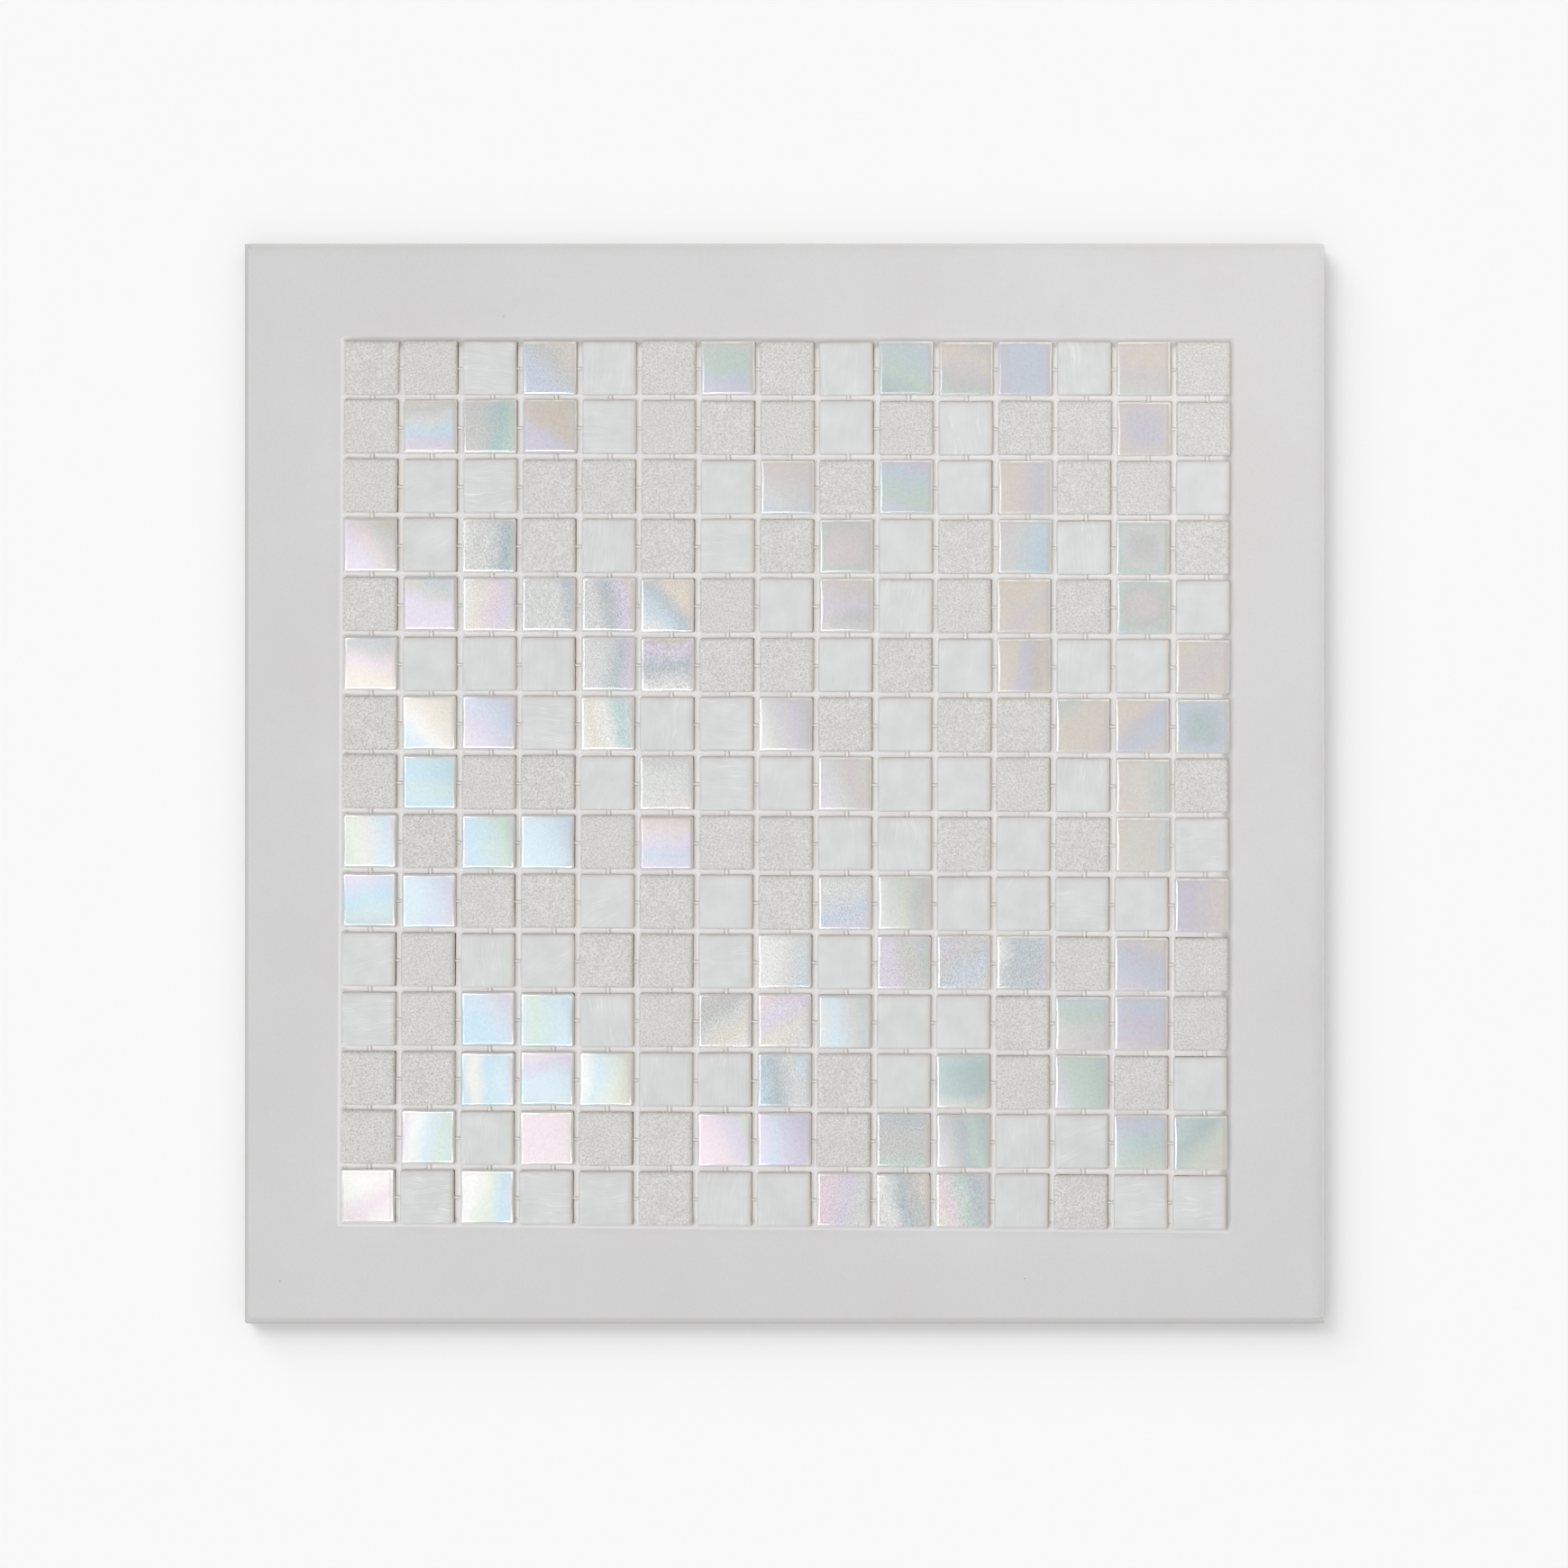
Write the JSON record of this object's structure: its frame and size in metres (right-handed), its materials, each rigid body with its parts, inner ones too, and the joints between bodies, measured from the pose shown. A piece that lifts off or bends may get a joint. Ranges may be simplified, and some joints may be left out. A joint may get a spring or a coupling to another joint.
{
  "type": "mosaic tile sheet",
  "caption": "Square sheet of small glass mosaic tiles in sandy, milky and iridescent finishes, hung on glue strands and bonded to a flat grey display board.",
  "frame": {"origin": "middle of the board's underside, on the surface that it lies on", "axes": "+X along the rows of tiles, +Y up the columns, +Z out of the tile faces"},
  "size_m": [0.4, 0.4, 0.0128],
  "materials": {
    "board": "matte",
    "strand": "satin",
    "sand_glass": "matte",
    "milk_glass": "satin",
    "pearl_glass": "gloss"
  },
  "bodies": {
    "root": {"backing_board": "board", "strand_lattice": "strand", "row_01_sand_tiles": "sand_glass", "row_01_milk_tiles": "milk_glass", "row_01_pearl_tiles": "pearl_glass", "row_02_sand_tiles": "sand_glass", "row_02_milk_tiles": "milk_glass", "row_02_pearl_tiles": "pearl_glass", "row_03_sand_tiles": "sand_glass", "row_03_milk_tiles": "milk_glass", "row_03_pearl_tiles": "pearl_glass", "row_04_sand_tiles": "sand_glass", "row_04_milk_tiles": "milk_glass", "row_04_pearl_tiles": "pearl_glass", "row_05_sand_tiles": "sand_glass", "row_05_milk_tiles": "milk_glass", "row_05_pearl_tiles": "pearl_glass", "row_06_sand_tiles": "sand_glass", "row_06_milk_tiles": "milk_glass", "row_06_pearl_tiles": "pearl_glass", "row_07_sand_tiles": "sand_glass", "row_07_milk_tiles": "milk_glass", "row_07_pearl_tiles": "pearl_glass", "row_08_sand_tiles": "sand_glass", "row_08_milk_tiles": "milk_glass", "row_08_pearl_tiles": "pearl_glass", "row_09_sand_tiles": "sand_glass", "row_09_milk_tiles": "milk_glass", "row_09_pearl_tiles": "pearl_glass", "row_10_sand_tiles": "sand_glass", "row_10_milk_tiles": "milk_glass", "row_10_pearl_tiles": "pearl_glass", "row_11_sand_tiles": "sand_glass", "row_11_milk_tiles": "milk_glass", "row_11_pearl_tiles": "pearl_glass", "row_12_sand_tiles": "sand_glass", "row_12_milk_tiles": "milk_glass", "row_12_pearl_tiles": "pearl_glass", "row_13_sand_tiles": "sand_glass", "row_13_milk_tiles": "milk_glass", "row_13_pearl_tiles": "pearl_glass", "row_14_sand_tiles": "sand_glass", "row_14_milk_tiles": "milk_glass", "row_14_pearl_tiles": "pearl_glass", "row_15_sand_tiles": "sand_glass", "row_15_milk_tiles": "milk_glass", "row_15_pearl_tiles": "pearl_glass"}
  },
  "joints": []
}
